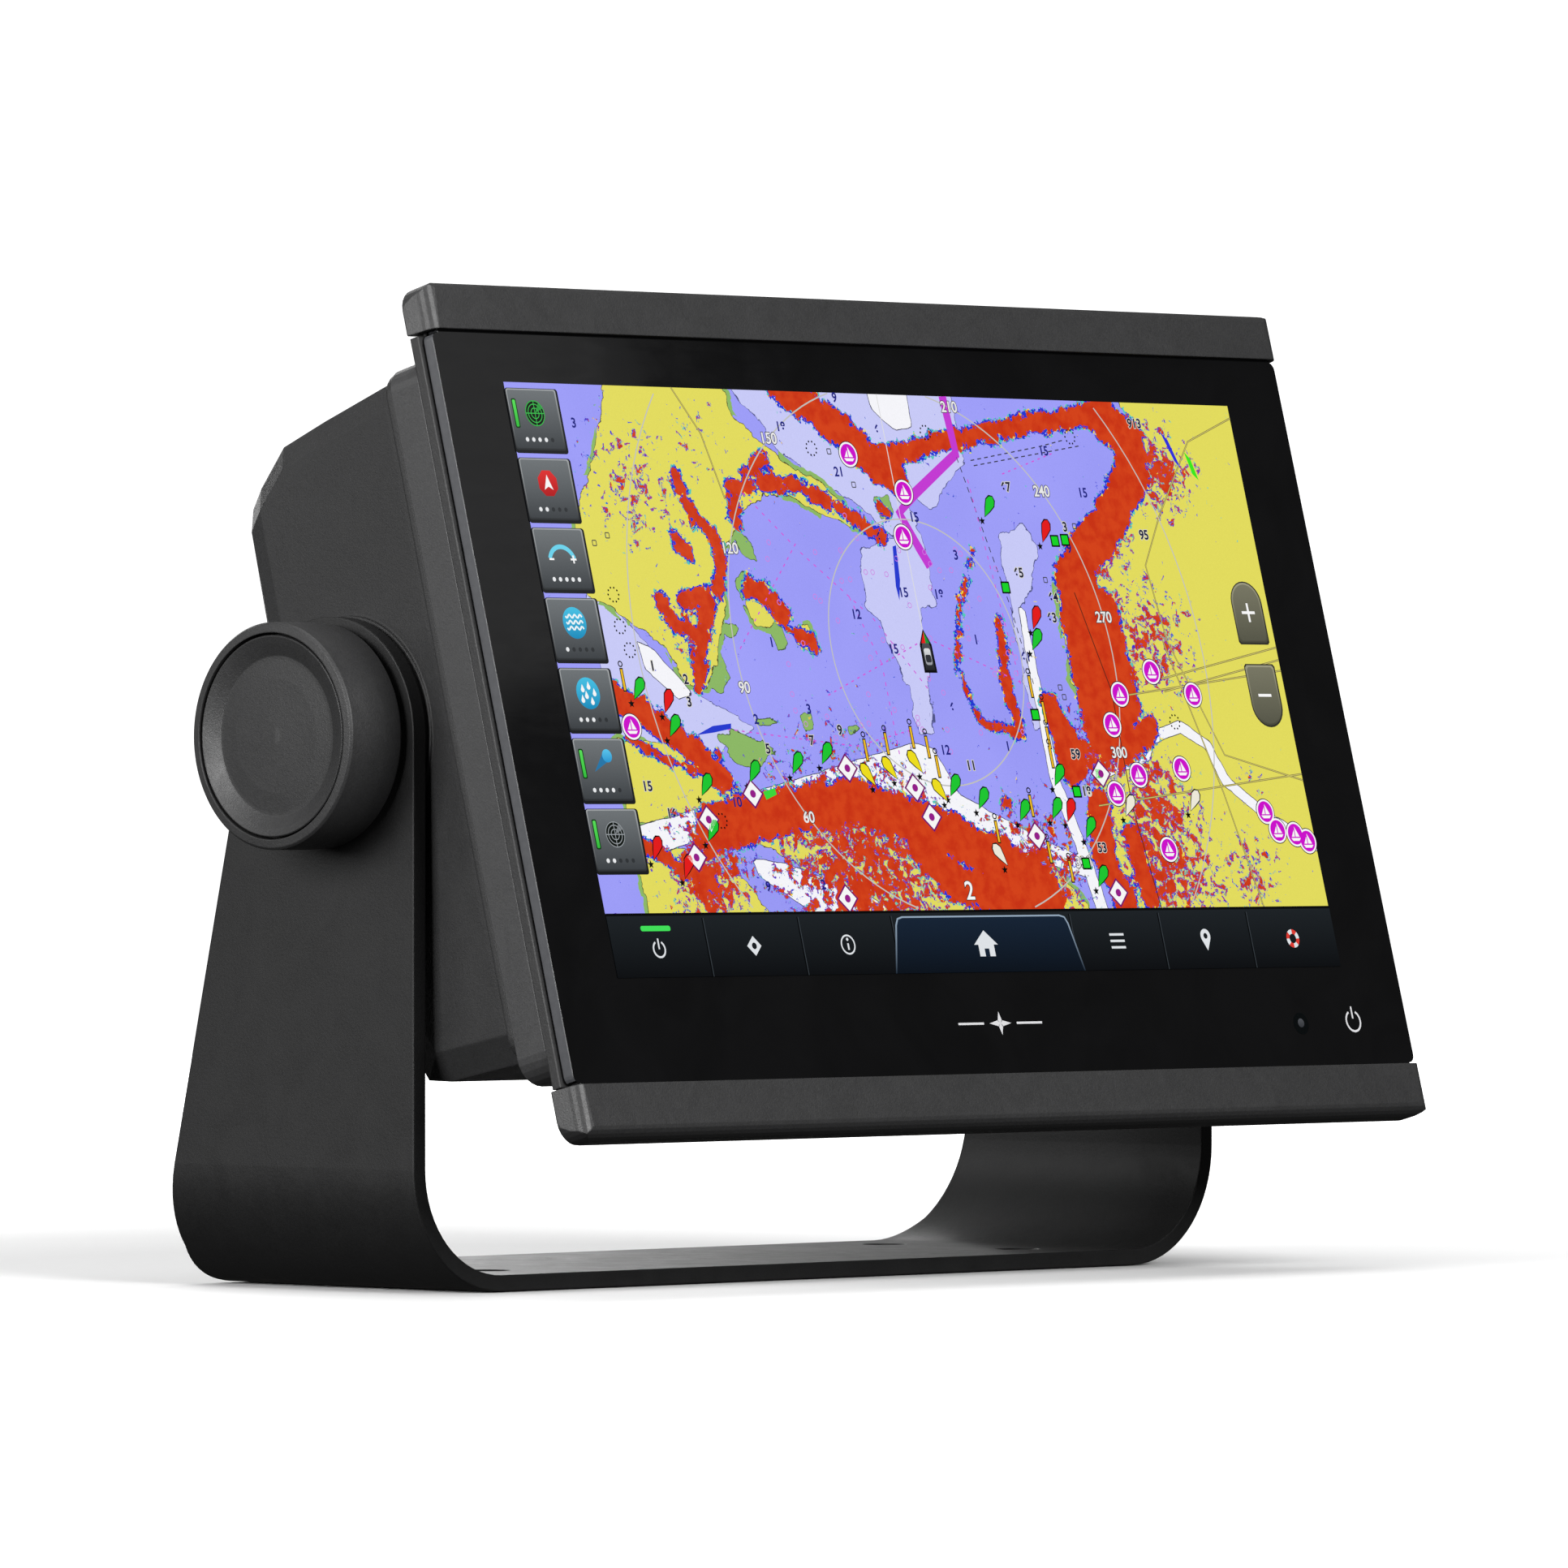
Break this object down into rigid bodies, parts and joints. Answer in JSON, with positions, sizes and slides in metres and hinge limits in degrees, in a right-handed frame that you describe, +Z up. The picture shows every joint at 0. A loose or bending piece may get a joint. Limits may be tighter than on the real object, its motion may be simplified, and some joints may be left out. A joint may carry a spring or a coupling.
{
  "type": "chartplotter display",
  "caption": "Widescreen marine touch display with a black glass front, leaning back between the arms of a bent-sheet bracket and clamped by a round knob on each side.",
  "frame": {"origin": "centre of the bracket base's four screw holes, on the underside that the base stands on", "axes": "+Z up out of the base, the screen faces -Y, +X to the viewer's right as the viewer faces the screen"},
  "size_m": [0.249, 0.1204, 0.1839],
  "materials": {
    "bracket_coat": "fine-grain satin powder coat on bent sheet",
    "textured_plastic": "moulded charcoal plastic with a fine leather grain",
    "cast_housing": "die-cast metal under a textured charcoal coat",
    "zinc_steel": "bright zinc plate",
    "cover_glass": "polished glass printed black on its back, clear over the picture",
    "adhesive_foam": "black closed-cell tape",
    "touch_film": "clear film",
    "lcd_cell": "polarised cell",
    "light_guide": "white light guide in a steel pan",
    "black_rubber": "matt moulded rubber",
    "insert_brass": "knurled and machined",
    "circuit_board": "green solder mask on glass fibre",
    "chip_black": "moulded package",
    "thermal_silicone": "soft gap pad",
    "bare_aluminium": "milled",
    "antenna_ceramic": "ceramic patch on a small board",
    "antenna_board": "blue solder mask",
    "ribbon_film": "amber flexible circuit",
    "connector_plastic": "glass-filled nylon",
    "plated_metal": "satin nickel plate",
    "contact_block": "gold-plated pins in an insulating block",
    "card_plastic": "moulded card"
  },
  "bodies": {
    "bracket": {"bail_bracket": "bracket_coat"},
    "head": {"cover_glass": "cover_glass", "glass_adhesive": "adhesive_foam", "touch_sensor": "touch_film", "lcd_panel": "lcd_cell", "lcd_backlight": "light_guide", "lcd_tray": "zinc_steel", "front_bezel": "textured_plastic", "top_trim_cap": "textured_plastic", "bottom_trim_cap": "textured_plastic", "mid_housing": "textured_plastic", "housing_seal": "black_rubber", "rear_housing": "cast_housing", "left_pivot_insert": "insert_brass", "right_pivot_insert": "insert_brass", "left_friction_pad": "black_rubber", "right_friction_pad": "black_rubber", "housing_screws": "zinc_steel", "main_board": "circuit_board", "main_board_chips": "chip_black", "processor": "chip_black", "shield_cans": "zinc_steel", "thermal_pad": "thermal_silicone", "heat_spreader": "bare_aluminium", "board_screws": "zinc_steel", "gnss_antenna": "antenna_ceramic", "wireless_antenna": "antenna_board", "coin_cell": "zinc_steel", "buzzer": "chip_black", "display_ribbon": "ribbon_film", "power_touch_board": "circuit_board", "light_sensor": "chip_black", "io_board": "circuit_board", "power_connector": "connector_plastic", "data_bus_connector": "plated_metal", "network_connectors": "connector_plastic", "sounder_connector": "connector_plastic", "connector_contacts": "contact_block", "connector_seals": "black_rubber", "card_sockets": "zinc_steel", "card_door_pin": "zinc_steel", "vent_plug": "black_rubber"},
    "left_washer": {"left_clamp_washer": "zinc_steel"},
    "left_knob": {"left_knob": "textured_plastic", "left_knob_cap": "textured_plastic", "left_clamp_stud": "zinc_steel"},
    "right_washer": {"right_clamp_washer": "zinc_steel"},
    "right_knob": {"right_knob": "textured_plastic", "right_knob_cap": "textured_plastic", "right_clamp_stud": "zinc_steel"},
    "card_door": {"card_door": "textured_plastic", "card_door_seal": "black_rubber"},
    "card_a": {"memory_card_a": "card_plastic"},
    "card_b": {"memory_card_b": "card_plastic"},
    "sounder_cap": {"sounder_dust_cap": "black_rubber"},
    "network_cap_a": {"network_dust_cap_a": "black_rubber"},
    "network_cap_b": {"network_dust_cap_b": "black_rubber"}
  },
  "joints": [
    {"name": "head_tilt", "type": "hinge", "parent": "bracket", "child": "head", "pos_m": [0, -0.0133, 0.1018], "axis": [1, 0, 0], "range_deg": [-45, 24]},
    {"name": "left_knob_travel", "type": "slide", "parent": "head", "child": "left_washer", "axis": [-1, 0, 0], "range_m": [0, 0.00875]},
    {"name": "left_knob_turn", "type": "hinge", "parent": "left_washer", "child": "left_knob", "pos_m": [-0.1095, -0.0133, 0.1018], "axis": [-1, 0, 0], "range_deg": [0, 2520]},
    {"name": "right_knob_travel", "type": "slide", "parent": "head", "child": "right_washer", "axis": [1, 0, 0], "range_m": [0, 0.00875]},
    {"name": "right_knob_turn", "type": "hinge", "parent": "right_washer", "child": "right_knob", "pos_m": [0.1095, -0.0133, 0.1018], "axis": [1, 0, 0], "range_deg": [0, 2520]},
    {"name": "card_door_hinge", "type": "hinge", "parent": "head", "child": "card_door", "pos_m": [0.072, 0.00567, 0.08905], "axis": [-1, 0, 0], "range_deg": [0, 100]},
    {"name": "card_a_push", "type": "slide", "parent": "head", "child": "card_a", "axis": [0, 0.9659, -0.2588], "range_m": [-0.0008, 0.0026]},
    {"name": "card_b_push", "type": "slide", "parent": "head", "child": "card_b", "axis": [0, 0.9659, -0.2588], "range_m": [-0.0008, 0.0026]},
    {"name": "sounder_cap_pull", "type": "slide", "parent": "head", "child": "sounder_cap", "axis": [0, 0.7807, -0.6249], "range_m": [0, 0.009]},
    {"name": "network_cap_a_pull", "type": "slide", "parent": "head", "child": "network_cap_a", "axis": [0, 0.7807, -0.6249], "range_m": [0, 0.009]},
    {"name": "network_cap_b_pull", "type": "slide", "parent": "head", "child": "network_cap_b", "axis": [0, 0.7807, -0.6249], "range_m": [0, 0.009]}
  ],
  "couplings": [
    {"joint": "left_knob_turn", "follows": "left_knob_travel", "rad_per_m": 5026.5},
    {"joint": "right_knob_turn", "follows": "right_knob_travel", "rad_per_m": 5026.5}
  ]
}
